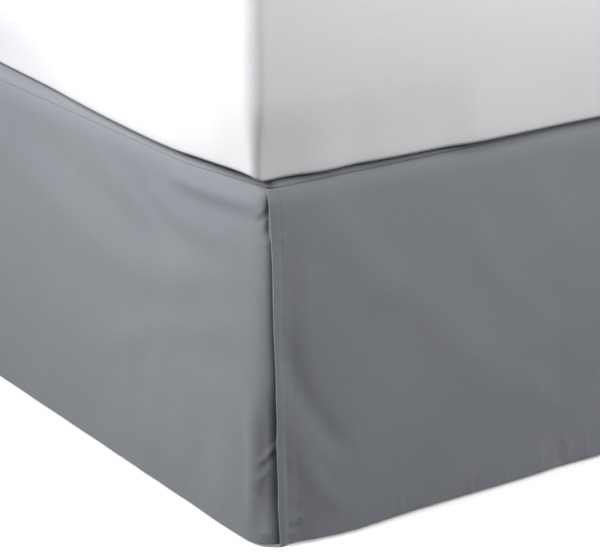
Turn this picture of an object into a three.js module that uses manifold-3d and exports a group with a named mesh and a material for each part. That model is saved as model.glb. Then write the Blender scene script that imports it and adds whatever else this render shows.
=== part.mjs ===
// A tailored bed skirt with split foot corners, on the plain bed that holds it: mattress, base and legs.
// The deck cloth lies between base and mattress. Two side drops and a foot drop hang from its seam. Each
// side drop turns the foot corner and runs on behind the foot drop, whose hemmed end laps over it.
import * as THREE from 'three';
import { mergeVertices } from 'three/addons/utils/BufferGeometryUtils.js';
import Module from 'manifold-3d';

const wasm = await Module();
wasm.setup();

// Millimetres. X runs across the bed, Y from foot to head, Z up from the floor.
const BED_WIDTH = 1524;
const BED_LENGTH = 2032;
const GAP = 0.3;

// Cloth: the drops, the deck and the seam that joins them.
const DROP_CLOTH = 1.2;
const DECK_CLOTH = 1;
const DECK_TOP = 406;
const DECK_EDGE_RADIUS = 12;
const SEAM_HEIGHT = DECK_TOP - DECK_EDGE_RADIUS;
const HEM_HEIGHT = 4;
const DROP_LENGTH = SEAM_HEIGHT - HEM_HEIGHT;

// The seam lies a little inside the drop's face: the cloth leaves it at a slant and turns down.
const SEAM_INSET = 3.5;
const SHOULDER = 24;

// Plan of the seam at a foot corner: it draws in along the side, then turns on a tight radius.
const TAPER_DEPTH = 24;
const TAPER_RUN = 150;
const TAPER_CURVE = 1.3;
const CORNER_RADIUS = 12;
const LEAST_CORNER_RADIUS = 1.5;
const PLAN_STOPS = [115, 80, 45];

// Bed.
const BASE_HEIGHT = 229;
const BASE_INSET = 11;
const BASE_EDGE_RADIUS = 18;
const BASE_TOP = DECK_TOP - DECK_CLOTH - GAP;
const BASE_BOTTOM = BASE_TOP - BASE_HEIGHT;
const LEG_HEIGHT = BASE_BOTTOM - GAP;
const LEG_RADIUS = 26;
const LEG_FOOT_RADIUS = 22;
const LEG_INSET = 90;
const MATTRESS_HEIGHT = 280;
const MATTRESS_EDGE_RADIUS = 25;
const MATTRESS_SHIFT = { across: 0, along: -1.5 };
const MATTRESS_BULGE = 7;
const MATTRESS_CROWN = 9;
const MATTRESS_COLUMNS = { x: 6, y: 9, z: 3 };
const ROUNDING_STOPS = [0, 0.12, 0.42, 1];

// How far below the seam each row of points on a drop lies.
const ROW_DROPS = [0, 7, 15, 27, 48, 74, 102, 132, 164, 198, 234, 272, 312, 352, DROP_LENGTH];
const ROWS = ROW_DROPS.length - 1;

// The side drop's outer face in plan, from its hidden end behind the foot drop round the corner to the head.
// run: distance along the cloth from the corner; across: in from the bed's side; along: in from its foot.
const SIDE_STATIONS = [
  { run: -76, columns: 2, topAcross: 95, topAlong: 5.2, hemAcross: 90, hemAlong: 3 },
  { run: -40, columns: 1, topAcross: 60, topAlong: 5.2, hemAcross: 58, hemAlong: 2.8 },
  { run: -20, columns: 2, topAcross: 40, topAlong: 5.4, hemAcross: 38, hemAlong: 2.4 },
  { run: -9, columns: 2, topAcross: 30, topAlong: 6.2, hemAcross: 26.5, hemAlong: 2.6 },
  { run: 3, columns: 2, topAcross: 24.2, topAlong: 9.5, hemAcross: 15.7, hemAlong: 7.4 },
  { run: 15, columns: 4, topAcross: 20.3, topAlong: 18, hemAcross: 8, hemAlong: 15.6 },
  { run: 38, columns: 3, topAcross: 15.1, topAlong: 45, hemAcross: 2.6, hemAlong: 33 },
  { run: 70, columns: 2, topAcross: 9, topAlong: 80, hemAcross: 0.8, hemAlong: 62 },
  { run: 110, columns: 1, topAcross: 3.3, topAlong: 115, hemAcross: 0.4, hemAlong: 108 },
  { run: 145, columns: 3, topAcross: 0.3, topAlong: 146, hemAcross: 0.5, hemAlong: 145 },
  { run: 200, columns: 21, topAcross: 0, topAlong: 200, hemAcross: 0.6, hemAlong: 200 },
  { run: 620, columns: 19, topAcross: 0, topAlong: 620, hemAcross: 0, hemAlong: 620 },
  { run: 2032, columns: 0, topAcross: 0, topAlong: 2032, hemAcross: 0, hemAlong: 2032 },
];

// How far the foot drop's hem stands out from the bed's foot, from the corner to the middle.
const FOOT_HEM = [
  { across: 24, out: 4.6 },
  { across: 28, out: 5.2 },
  { across: 33, out: 4.4 },
  { across: 45, out: 5 },
  { across: 67, out: 9.6 },
  { across: 91, out: 12.9 },
  { across: 115, out: 14.6 },
  { across: 142, out: 13.5 },
  { across: 196, out: 11.3 },
  { across: 360, out: 11.9 },
  { across: 390, out: 9.8 },
  { across: 446, out: 11.7 },
  { across: 560, out: 8.5 },
  { across: 670, out: 12.5 },
  { across: 762, out: 10 },
];

// The foot drop's lapped edge, a little bowed, and the columns from there to the middle of the bed.
const LAP_EDGE = [
  { height: 4, across: 23 },
  { height: 48, across: 22.2 },
  { height: 116, across: 22.9 },
  { height: 205, across: 25.2 },
  { height: 308, across: 25.1 },
  { height: 394, across: 22.4 },
];
const FOOT_SPANS = [
  { reach: 13, columns: 1 },
  { reach: 34, columns: 2 },
  { reach: 100, columns: 4 },
  { reach: 240, columns: 7 },
  { reach: 440, columns: 8 },
  { reach: 740, columns: 7 },
];

// The lapped edge turns in at the seam. Further down it lies tucked in flat, and lets go a little at the hem.
const LAP_TURN = 13;
const LAP_TURN_DEPTH = 2.6;
const LAP_TURN_CURVE = 1.6;
const LAP_TUCK = 2.8;
const LAP_TUCK_WIDTH = { from: 10, to: 42 };
const LAP_TUCK_DROP = 110;
const LAP_HEM_RELEASE = 0.3;
const LAP_HEM_CURVE = 3;

// Folds. Each is a soft ridge, or a trough where rise is negative, along a bent line on the flat cloth.
// from, bend and to: distance from the foot corner, then height above the floor.
const SIDE_FOLDS = [
  { name: 'long swag', from: [620, 330], bend: [272, 186], to: [35, 306], width: 30, rise: 3.4 },
  { name: 'hollow above swag', from: [520, 352], bend: [372, 322], to: [240, 292], width: 18, rise: -1.3 },
  { name: 'narrow swag', from: [380, 368], bend: [302, 337], to: [215, 312], width: 16, rise: 1.1 },
  { name: 'hollow above it', from: [262, 356], bend: [200, 316], to: [110, 300], width: 16, rise: -0.9 },
  { name: 'short swag', from: [215, 366], bend: [157, 312], to: [30, 334], width: 15, rise: 1.6 },
  { name: 'roll under seam', from: [170, 378], bend: [90, 372], to: [5, 377], width: 10, rise: 2.2 },
  { name: 'rising crease', from: [420, 122], bend: [200, 202], to: [20, 240], width: 20, rise: 1.5 },
  { name: 'soft upright roll', from: [95, 190], bend: [70, 100], to: [75, 10], width: 30, rise: 2 },
  { name: 'second swag', from: [980, 352], bend: [760, 250], to: [560, 330], width: 34, rise: 4 },
  { name: 'slack low', from: [900, 120], bend: [800, 60], to: [760, 4], width: 40, rise: 4 },
  { name: 'third swag', from: [1480, 360], bend: [1260, 240], to: [1040, 330], width: 36, rise: 4.5 },
  { name: 'slack low again', from: [1330, 150], bend: [1370, 70], to: [1450, 4], width: 44, rise: -4 },
  { name: 'head swag', from: [2020, 350], bend: [1800, 230], to: [1600, 340], width: 36, rise: 4 },
];
const FOOT_FOLDS = [
  { name: 'trough off the lap', from: [38, 245], bend: [43, 158], to: [108, 88], width: 13, rise: -2.6 },
  { name: 'roll by the lap', from: [38, 180], bend: [42, 73], to: [102, 26], width: 12, rise: 1.6 },
  { name: 'roll under seam', from: [80, 380], bend: [137, 292], to: [165, 235], width: 24, rise: 1.6 },
  { name: 'long slanting roll', from: [150, 300], bend: [212, 211], to: [385, 58], width: 26, rise: 1.5 },
  { name: 'second roll', from: [262, 335], bend: [301, 249], to: [335, 215], width: 18, rise: 1 },
  { name: 'third roll', from: [345, 350], bend: [380, 304], to: [415, 262], width: 18, rise: 0.9 },
  { name: 'low roll', from: [340, 135], bend: [365, 98], to: [410, 58], width: 15, rise: 1 },
  { name: 'middle roll', from: [560, 380], bend: [640, 200], to: [700, 40], width: 44, rise: 3 },
];
const FOLD_POINTS = 16;
const FOLD_FADE = 0.3;
const FOLD_END = 0.06;
const CORNER_FADE = { from: -20, to: 25 };
const SEAM_HOLD = 26;
const RIGHT_FOLD_SHIFT = 55;
// Where the side drop is pressed flat, around the corner: along it from the corner, and up it from the floor.
const PRESS_DEPTH = 4.4;
const PRESS_RUN = { hidden: -60, full: -15, fullTo: 8, end: 26 };
const PRESS_HEIGHT = { start: 8, full: 60, fullTo: 110, end: 190 };

function smooth(low, high, value) {
  return THREE.MathUtils.smoothstep(value, low, high);
}

// The value of one column of a table at a place between its rows.
function between(table, key, column, at) {
  const last = table.length - 1;
  if (at <= table[0][key]) return table[0][column];
  if (at >= table[last][key]) return table[last][column];
  const next = table.findIndex((row) => row[key] > at);
  const share = (at - table[next - 1][key]) / (table[next][key] - table[next - 1][key]);
  return THREE.MathUtils.lerp(table[next - 1][column], table[next][column], share);
}

// A fold's bent line as short straight steps.
function foldSteps({ from, bend, to }) {
  const line = new THREE.QuadraticBezierCurve(
    new THREE.Vector2(...from),
    new THREE.Vector2(...bend),
    new THREE.Vector2(...to),
  );
  const points = line.getPoints(FOLD_POINTS);
  return points.slice(1).map((end, i) => ({ start: points[i], step: end.clone().sub(points[i]) }));
}

function prepareFolds(table) {
  return table.map((fold) => ({ ...fold, steps: foldSteps(fold) }));
}

// How far the folds push the cloth out at a place on it. The seam holds the cloth still above.
function foldRise(folds, run, height) {
  let rise = 0;
  const place = new THREE.Vector2(run, height);
  for (const { steps, width, rise: crest } of folds) {
    let nearest = Infinity;
    let share = 0;
    steps.forEach(({ start, step }, i) => {
      const reach = place.clone().sub(start);
      const part = THREE.MathUtils.clamp(reach.dot(step) / step.lengthSq(), 0, 1);
      const distance = reach.addScaledVector(step, -part).length();
      if (distance < nearest) {
        nearest = distance;
        share = (i + part) / FOLD_POINTS;
      }
    });
    const fade = smooth(0, FOLD_FADE, share + FOLD_END) * smooth(0, FOLD_FADE, 1 + FOLD_END - share);
    rise += crest * fade * Math.exp(-((nearest / width) ** 2));
  }
  return rise * smooth(0, SEAM_HOLD, SEAM_HEIGHT - height);
}

// Low down, a side drop is pressed in between the fold of the corner and its hidden end.
function cornerPress(run, height) {
  const startAlong = smooth(PRESS_RUN.hidden, PRESS_RUN.full, run);
  const endAlong = 1 - smooth(PRESS_RUN.fullTo, PRESS_RUN.end, run);
  const startUp = smooth(PRESS_HEIGHT.start, PRESS_HEIGHT.full, height);
  const endUp = 1 - smooth(PRESS_HEIGHT.fullTo, PRESS_HEIGHT.end, height);
  return PRESS_DEPTH * startAlong * endAlong * startUp * endUp;
}

// How far in the cloth's face is near the seam.
function shoulder(height) {
  return SEAM_INSET * Math.max(0, 1 - (SEAM_HEIGHT - height) / SHOULDER) ** 2;
}

function taper(along) {
  return TAPER_DEPTH * Math.max(0, 1 - along / TAPER_RUN) ** TAPER_CURVE;
}

// Merges a closed mesh's points and turns its faces outwards.
function closedMesh(geometry) {
  geometry.deleteAttribute('normal');
  geometry.deleteAttribute('uv');
  const merged = mergeVertices(geometry, 1e-3);
  const points = merged.attributes.position;
  const index = merged.index.array;
  const [a, b, c] = [new THREE.Vector3(), new THREE.Vector3(), new THREE.Vector3()];
  let volume = 0;
  for (let i = 0; i < index.length; i += 3) {
    a.fromBufferAttribute(points, index[i]);
    b.fromBufferAttribute(points, index[i + 1]);
    c.fromBufferAttribute(points, index[i + 2]);
    volume += a.dot(b.cross(c));
  }
  if (volume < 0) {
    for (let i = 0; i < index.length; i += 3) {
      [index[i], index[i + 1]] = [index[i + 1], index[i]];
    }
  }
  merged.computeVertexNormals();
  return merged;
}

// A closed sheet of cloth: a box of columns and rows, with every point moved to its place on the drape.
// facePoint(column, height, depth into the cloth) gives that place.
function clothSheet(columns, facePoint) {
  const geometry = new THREE.BoxGeometry(1, 1, 1, columns, ROWS, 1);
  const points = geometry.attributes.position;
  for (let i = 0; i < points.count; i++) {
    const column = Math.round((points.getX(i) + 0.5) * columns);
    const depth = points.getZ(i) > 0 ? 0 : DROP_CLOTH;
    const row = Math.round((0.5 - points.getY(i)) * ROWS);
    const place = facePoint(column, SEAM_HEIGHT - Math.max(GAP, ROW_DROPS[row]), depth);
    points.setXYZ(i, place.x, place.y, place.z);
  }
  return closedMesh(geometry);
}

// One place along the side drop for every column: its part of the path and its distance along the cloth.
function sideColumns() {
  const places = [];
  SIDE_STATIONS.forEach((station, i) => {
    for (let step = 0; step < station.columns; step++) {
      const share = step / station.columns;
      const run = THREE.MathUtils.lerp(station.run, SIDE_STATIONS[i + 1].run, share);
      places.push({ path: (i + share) / (SIDE_STATIONS.length - 1), run });
    }
  });
  places.push({ path: 1, run: BED_LENGTH });
  return places;
}

function stationPath(acrossColumn, alongColumn) {
  const points = SIDE_STATIONS.map((row) => new THREE.Vector3(row[acrossColumn], row[alongColumn], 0));
  return new THREE.CatmullRomCurve3(points, false, 'centripetal');
}

// A side drop. mirror is 1 for the left side and -1 for the right, where the folds lie further along.
function sideDrop(mirror, foldShift) {
  const top = stationPath('topAcross', 'topAlong');
  const hem = stationPath('hemAcross', 'hemAlong');
  const columns = sideColumns();
  const folds = prepareFolds(SIDE_FOLDS);
  return clothSheet(columns.length - 1, (column, height, depth) => {
    const { path, run } = columns[column];
    const share = (SEAM_HEIGHT - height) / DROP_LENGTH;
    const place = top.getPoint(path).lerp(hem.getPoint(path), share);
    const heading = top.getTangent(path).lerp(hem.getTangent(path), share).normalize();
    const turned = smooth(CORNER_FADE.from, CORNER_FADE.to, run);
    const folded = foldRise(folds, run + foldShift, height) * turned;
    const out = folded - cornerPress(run, height) - shoulder(height) - depth;
    const across = place.x - heading.y * out;
    const along = place.y + heading.x * out;
    return new THREE.Vector3(mirror * (across - BED_WIDTH / 2), along - BED_LENGTH / 2, height);
  });
}

function footReaches() {
  const reaches = [0];
  for (const { reach, columns } of FOOT_SPANS) {
    const start = reaches[reaches.length - 1];
    for (let step = 1; step <= columns; step++) {
      reaches.push(start + ((reach - start) * step) / columns);
    }
  }
  return reaches;
}

// How far the foot drop's face stands out at a distance from its nearer corner and from its lapped edge.
function footOut(folds, across, inFromEdge, height) {
  const share = (SEAM_HEIGHT - height) / DROP_LENGTH;
  const turn = Math.max(0, 1 - inFromEdge / LAP_TURN);
  const flare = between(FOOT_HEM, 'across', 'out', across) * share;
  const drop = smooth(0, LAP_TUCK_DROP, SEAM_HEIGHT - height);
  const tuckShare = 1 - smooth(LAP_TUCK_WIDTH.from, LAP_TUCK_WIDTH.to, inFromEdge);
  const tucked = LAP_TUCK * tuckShare * drop * (1 - LAP_HEM_RELEASE * share ** LAP_HEM_CURVE);
  const turned = LAP_TURN_DEPTH * turn ** LAP_TURN_CURVE * (1 - drop);
  return flare - turned - tucked - shoulder(height) + foldRise(folds, across, height);
}

function footDrop() {
  const half = footReaches();
  const folds = prepareFolds(FOOT_FOLDS);
  const middle = half.length - 1;
  return clothSheet(2 * middle, (column, height, depth) => {
    const side = column > middle ? -1 : 1;
    const edge = between(LAP_EDGE, 'height', 'across', height);
    const reach = half[column > middle ? 2 * middle - column : column];
    const across = edge + (reach / half[middle]) * (BED_WIDTH / 2 - edge);
    const out = footOut(folds, across, across - edge, height) - depth;
    return new THREE.Vector3(side * (across - BED_WIDTH / 2), -out - BED_LENGTH / 2, height);
  });
}

// The seam's outline in plan, drawn in by an inset, with its open head end at headEnd.
function bedPlan(inset, headEnd) {
  const turn = Math.max(CORNER_RADIUS - inset, LEAST_CORNER_RADIUS);
  const side = (along) => taper(along) + inset - BED_WIDTH / 2;
  const foot = inset - BED_LENGTH / 2;
  const shape = new THREE.Shape();
  shape.moveTo(side(BED_LENGTH), headEnd);
  for (const along of [TAPER_RUN, ...PLAN_STOPS, inset + turn]) {
    shape.lineTo(side(along), along - BED_LENGTH / 2);
  }
  const corner = side(inset + turn);
  shape.quadraticCurveTo(corner, foot, corner + turn, foot);
  shape.lineTo(-corner - turn, foot);
  shape.quadraticCurveTo(-corner, foot, -corner, foot + turn);
  for (const along of [...PLAN_STOPS.toReversed(), TAPER_RUN]) {
    shape.lineTo(-side(along), along - BED_LENGTH / 2);
  }
  shape.lineTo(-side(BED_LENGTH), headEnd);
  shape.closePath();
  return shape;
}

// A slab on the bed's plan with rounded edges above and below.
function planSlab(inset, radius, bottom, top, headEnd) {
  const geometry = new THREE.ExtrudeGeometry(bedPlan(inset + radius, headEnd - radius), {
    depth: top - bottom - 2 * radius,
    bevelThickness: radius,
    bevelSize: radius,
    bevelSegments: 4,
    curveSegments: 3,
  });
  geometry.translate(0, 0, bottom + radius);
  return closedMesh(geometry);
}

function solid(geometry) {
  const vertProperties = geometry.attributes.position.array;
  const triVerts = new Uint32Array(geometry.index.array);
  return new wasm.Manifold(new wasm.Mesh({ numProp: 3, vertProperties, triVerts }));
}

function meshOf(manifold) {
  const { vertProperties, triVerts } = manifold.getMesh();
  const geometry = new THREE.BufferGeometry();
  geometry.setAttribute('position', new THREE.BufferAttribute(new Float32Array(vertProperties), 3));
  geometry.setIndex(new THREE.BufferAttribute(new Uint32Array(triVerts), 1));
  return closedMesh(geometry);
}

// The deck lies flat and rolls over the edge of the base down to the seam. Its head edge is cut straight.
function deckCloth() {
  const spare = 60;
  const headEnd = BED_LENGTH / 2;
  const inner = DECK_EDGE_RADIUS - DECK_CLOTH;
  const bottom = SEAM_HEIGHT - spare;
  const outside = solid(planSlab(SEAM_INSET, DECK_EDGE_RADIUS, bottom, DECK_TOP, headEnd + spare));
  const core = planSlab(SEAM_INSET + DECK_CLOTH, inner, bottom, DECK_TOP - DECK_CLOTH, headEnd + spare);
  const below = new THREE.BoxGeometry(2 * BED_WIDTH, 2 * BED_LENGTH, 2 * spare);
  below.translate(0, 0, SEAM_HEIGHT - spare);
  const beyond = new THREE.BoxGeometry(2 * BED_WIDTH, 4 * spare, 4 * spare);
  beyond.translate(0, headEnd + 2 * spare, SEAM_HEIGHT);
  const rolled = outside.subtract(solid(core)).subtract(solid(closedMesh(below)));
  return meshOf(rolled.subtract(solid(closedMesh(beyond))));
}

// Stops along one axis of a rounded slab: close together in the rounding, evenly spread between.
function slabStops(half, radius, columns) {
  const stops = ROUNDING_STOPS.map((share) => radius * share - half);
  for (let i = 1; i < columns; i++) {
    stops.push(radius - half + (2 * (half - radius) * i) / columns);
  }
  return stops.concat(ROUNDING_STOPS.map((share) => half - radius * share).reverse());
}

// The mattress: a slab with rounded edges, soft sides and a low crown, flat underneath.
function mattress() {
  const half = new THREE.Vector3(BED_WIDTH / 2, BED_LENGTH / 2, MATTRESS_HEIGHT / 2);
  const radius = MATTRESS_EDGE_RADIUS;
  const stops = {
    x: slabStops(half.x, radius, MATTRESS_COLUMNS.x),
    y: slabStops(half.y, radius, MATTRESS_COLUMNS.y),
    z: slabStops(half.z, radius, MATTRESS_COLUMNS.z),
  };
  const counts = [stops.x.length - 1, stops.y.length - 1, stops.z.length - 1];
  const geometry = new THREE.BoxGeometry(1, 1, 1, ...counts);
  const points = geometry.attributes.position;
  const core = half.clone().subScalar(radius);
  const bottom = DECK_TOP + GAP;
  for (let i = 0; i < points.count; i++) {
    const place = new THREE.Vector3().fromBufferAttribute(points, i).addScalar(0.5);
    place.x = stops.x[Math.round(place.x * counts[0])];
    place.y = stops.y[Math.round(place.y * counts[1])];
    place.z = stops.z[Math.round(place.z * counts[2])];
    const inner = place.clone().clamp(core.clone().negate(), core);
    place.sub(inner).normalize().multiplyScalar(radius).add(inner);
    const level = place.z / half.z;
    const swell = MATTRESS_BULGE * (1 - level ** 2);
    const crown = MATTRESS_CROWN * smooth(0.5, 1, level) * (1 - (place.x / half.x) ** 2);
    points.setXYZ(
      i,
      place.x * (1 + swell / half.x) + MATTRESS_SHIFT.across,
      place.y * (1 + swell / half.y) + MATTRESS_SHIFT.along,
      place.z + half.z + bottom + crown * (1 - (place.y / half.y) ** 2),
    );
  }
  return closedMesh(geometry);
}

function leg(x, y) {
  const geometry = new THREE.CylinderGeometry(LEG_RADIUS, LEG_FOOT_RADIUS, LEG_HEIGHT, 20);
  geometry.rotateX(Math.PI / 2);
  geometry.translate(x, y, LEG_HEIGHT / 2);
  return closedMesh(geometry);
}

const finishes = {
  skirt: { color: 0x84878c, roughness: 0.8, metalness: 0 },
  mattress: { color: 0xf2f2f4, roughness: 0.85, metalness: 0 },
  base: { color: 0xb9bbbf, roughness: 0.85, metalness: 0 },
  leg: { color: 0x3b3c3e, roughness: 0.5, metalness: 0 },
};

const bed = new THREE.Group();

function add(name, geometry, finish) {
  const piece = new THREE.Mesh(geometry, new THREE.MeshStandardMaterial(finishes[finish]));
  piece.name = name;
  bed.add(piece);
}

const baseHead = BED_LENGTH / 2 - BASE_INSET;
add('base_box', planSlab(BASE_INSET, BASE_EDGE_RADIUS, BASE_BOTTOM, BASE_TOP, baseHead), 'base');
add('mattress', mattress(), 'mattress');
add('deck_cloth', deckCloth(), 'skirt');
add('side_drop_left', sideDrop(1, 0), 'skirt');
add('side_drop_right', sideDrop(-1, RIGHT_FOLD_SHIFT), 'skirt');
add('foot_drop', footDrop(), 'skirt');

const legAcross = BED_WIDTH / 2 - LEG_INSET;
const legAlong = BED_LENGTH / 2 - LEG_INSET;
let legNumber = 0;
for (const x of [-legAcross, legAcross]) {
  for (const y of [-legAlong, 0, legAlong]) {
    legNumber += 1;
    add(`leg_${legNumber}`, leg(x, y), 'leg');
  }
}

// The origin is the middle of the whole part's footprint, on the floor.
const middle = new THREE.Box3().setFromObject(bed).getCenter(new THREE.Vector3());
bed.position.set(-middle.x, -middle.y, 0);

export default bed;
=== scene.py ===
import math

import bmesh
import bpy
import numpy as np
from mathutils import Matrix, Vector


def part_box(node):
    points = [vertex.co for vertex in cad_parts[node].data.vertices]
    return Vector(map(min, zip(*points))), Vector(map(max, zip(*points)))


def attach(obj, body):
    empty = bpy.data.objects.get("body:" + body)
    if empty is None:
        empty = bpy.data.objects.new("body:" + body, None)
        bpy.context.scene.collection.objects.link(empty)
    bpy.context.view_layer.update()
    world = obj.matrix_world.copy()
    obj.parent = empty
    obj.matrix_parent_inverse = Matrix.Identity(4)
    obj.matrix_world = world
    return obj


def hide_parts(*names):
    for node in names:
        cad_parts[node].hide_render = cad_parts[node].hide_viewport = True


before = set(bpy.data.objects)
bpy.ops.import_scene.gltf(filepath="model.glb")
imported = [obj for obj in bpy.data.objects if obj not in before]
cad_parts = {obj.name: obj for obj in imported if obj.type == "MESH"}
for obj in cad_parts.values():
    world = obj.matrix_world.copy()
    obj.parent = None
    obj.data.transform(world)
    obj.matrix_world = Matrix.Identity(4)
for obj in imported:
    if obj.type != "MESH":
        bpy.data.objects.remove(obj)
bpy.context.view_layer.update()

# Lengths are millimetres until a mesh is placed. Across counts in from the bed's side, along counts from its
# foot towards the head, and height from the floor.
MM = 0.001
BED_WIDTH = 1524
BED_LENGTH = 2032
SEAM_HEIGHT = 394
HEM_HEIGHT = 4
DROP_LENGTH = SEAM_HEIGHT - HEM_HEIGHT
DECK_TOP = 406
HEM_CLOTH = 2.2
DECK_CLOTH = 1.0

# The seam lies a little inside the bed's own plan. The cloth leaves it at a slant and turns down over a
# shoulder.
SEAM_INSET = 3.5
SHOULDER = 24

seam_low, seam_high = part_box("deck_cloth")
BED_CORNER = Vector((seam_low.x - SEAM_INSET * MM, seam_low.y - SEAM_INSET * MM, 0))
BED_RIGHT = seam_high.x + SEAM_INSET * MM


def in_frame(across, along, height, mirrored=False):
    """Places in the row frame, in metres. A mirrored place counts in from the bed's right side."""
    x = BED_RIGHT - across * MM if mirrored else BED_CORNER.x + across * MM
    return np.stack([x, BED_CORNER.y + along * MM, height * MM], axis=-1)


# The camera stands off the foot corner at the left, above the mattress.
CAMERA_FROM_CORNER = Vector((-1.191, -1.955, 1.108))
CAMERA_TURN = math.radians(-32.53)
CAMERA_TILT = math.radians(90 - 19.30)
CAMERA_ROLL = math.radians(-1.29)
CAMERA_LENS = 144.9

camera_data = bpy.data.cameras.new("camera")
camera_data.sensor_width = 36
camera_data.lens = CAMERA_LENS
camera = bpy.data.objects.new("camera", camera_data)
bpy.context.scene.collection.objects.link(camera)
camera.matrix_world = (
    Matrix.Translation(BED_CORNER + CAMERA_FROM_CORNER)
    @ Matrix.Rotation(CAMERA_TURN, 4, "Z")
    @ Matrix.Rotation(CAMERA_TILT, 4, "X")
    @ Matrix.Rotation(CAMERA_ROLL, 4, "Z")
)
bpy.context.scene.camera = camera


# ---- Shapes that the cloth follows ----

def ramp(low, high, value):
    """Eases from 0 at low to 1 at high."""
    share = np.clip((value - low) / (high - low), 0, 1)
    return share * share * (3 - 2 * share)


def stops(*marks):
    """Places along a line: each mark is (place, spacing up to the next one)."""
    places = []
    for (start, spacing), (end, _) in zip(marks, marks[1:]):
        count = max(1, round(abs(end - start) / spacing))
        places.append(np.linspace(start, end, count, endpoint=False))
    places.append([marks[-1][0]])
    return np.concatenate(places)


def smooth_path(points, at):
    """A curve through points, and its heading. at is 0 at the first point and 1 more at each next one."""
    points = np.asarray(points, float)
    padded = np.vstack([2 * points[0] - points[1], points, 2 * points[-1] - points[-2]])
    first = np.clip(np.floor(at).astype(int), 0, len(points) - 2)
    share = (at - first)[..., None]
    before, start, end, after = (padded[first + k] for k in range(4))
    gaps = [np.sqrt(np.linalg.norm(b - a, axis=-1))[..., None]
            for a, b in ((before, start), (start, end), (end, after))]
    leave = (start - before) / gaps[0] - (end - before) / (gaps[0] + gaps[1]) + (end - start) / gaps[1]
    arrive = (end - start) / gaps[1] - (after - start) / (gaps[1] + gaps[2]) + (after - end) / gaps[2]
    leave, arrive = leave * gaps[1], arrive * gaps[1]
    square = 3 * (end - start) - 2 * leave - arrive
    cube = 2 * (start - end) + leave + arrive
    place = start + share * (leave + share * (square + share * cube))
    heading = leave + share * (2 * square + 3 * share * cube)
    return place, heading / np.linalg.norm(heading, axis=-1)[..., None]


LINE_STEPS = 16


def off_line(start, bend, end, run, height):
    """How far each place is from a bent line, and how far along the line it is."""
    t = np.linspace(0, 1, LINE_STEPS + 1)[:, None]
    line = (1 - t) ** 2 * np.array(start) + 2 * t * (1 - t) * np.array(bend) + t ** 2 * np.array(end)
    nearest = np.full(run.shape, np.inf)
    share = np.zeros(run.shape)
    for i in range(LINE_STEPS):
        step = line[i + 1] - line[i]
        part = ((run - line[i, 0]) * step[0] + (height - line[i, 1]) * step[1]) / (step @ step)
        part = np.clip(part, 0, 1)
        distance = np.hypot(run - line[i, 0] - part * step[0], height - line[i, 1] - part * step[1])
        share = np.where(distance < nearest, (i + part) / LINE_STEPS, share)
        nearest = np.minimum(nearest, distance)
    return nearest, share


# The folds come in over this distance below the seam, which holds them flat.
SEAM_HOLD = 26
# The stitches of the seam pull the cloth in over this width, and lie in a fine ditch.
SEAM_PULL = 0.9
SEAM_PULL_WIDTH = 12
DITCH_WIDTH = 1.8
SIDE_DITCH = 0.12
FOOT_DITCH = 0.5


def seam_ditch(off_seam, depth):
    return depth * (1 - ramp(0, DITCH_WIDTH, off_seam))


def shoulder(height, ditch):
    """How far in the cloth's face is near the seam."""
    below = SEAM_HEIGHT - height
    slant = SEAM_INSET * (1 - np.clip(below / SHOULDER, 0, 1)) ** 2
    pull = SEAM_PULL * (1 - np.clip(below / SEAM_PULL_WIDTH, 0, 1)) ** 2
    return slant + pull + seam_ditch(below, ditch)


# A fold or crease fades over this share of its length at each end. A fold starts a little way into its fade.
FOLD_FADE = 0.3
FOLD_START = 0.06
CREASE_FADE = 0.25
# The power of a crease's section. It is 2 for a fold, which is rounder.
CREASE_SHARPNESS = 1.5


def fold_rise(folds, run, height):
    """How far the folds push the cloth out. The seam holds it still above."""
    rise = np.zeros(run.shape)
    for start, bend, end, width, crest in folds:
        nearest, share = off_line(start, bend, end, run, height)
        fade = ramp(0, FOLD_FADE, share + FOLD_START) * ramp(0, FOLD_FADE, 1 + FOLD_START - share)
        rise += crest * fade * np.exp(-(nearest / width) ** 2)
    return rise * ramp(0, SEAM_HOLD, SEAM_HEIGHT - height)


def crease_rise(creases, run, height):
    """Small creases: each is sharper along its crest than a fold, and fades at both ends."""
    rise = np.zeros(run.shape)
    for start, bend, end, width, crest in creases:
        nearest, share = off_line(start, bend, end, run, height)
        fade = ramp(0, CREASE_FADE, share) * ramp(0, CREASE_FADE, 1 - share)
        rise += crest * fade * np.exp(-(nearest / width) ** CREASE_SHARPNESS)
    return rise


RIPPLES = 7
RIPPLE_LENGTHS = (70, 210)


def ripple(run, height, seed, size):
    """Soft unevenness of hanging cloth."""
    draw = np.random.default_rng(seed)
    total = np.zeros(run.shape)
    for _ in range(RIPPLES):
        wave = draw.uniform(*RIPPLE_LENGTHS)
        turn = draw.uniform(0, math.pi)
        phase = draw.uniform(0, 2 * math.pi)
        total += np.sin((run * math.cos(turn) + height * math.sin(turn)) * 2 * math.pi / wave + phase)
    return total * size / RIPPLES


GATHER_LENGTHS = (9, 13, 19, 29, 41)
GATHER_UNEVENNESS = (0.9, 1.1)
GATHER_SHARE = 1 / 3


def pucker(place, seed, size):
    """Uneven gathers along a line of stitches."""
    draw = np.random.default_rng(seed)
    total = np.zeros(place.shape)
    for length in GATHER_LENGTHS:
        wave = length * draw.uniform(*GATHER_UNEVENNESS)
        total += np.sin(place * 2 * math.pi / wave + draw.uniform(0, 2 * math.pi))
    return total * size * GATHER_SHARE


# The side drop's end behind the foot drop, as a distance along the cloth from the corner.
HIDDEN_END = -76
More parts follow.
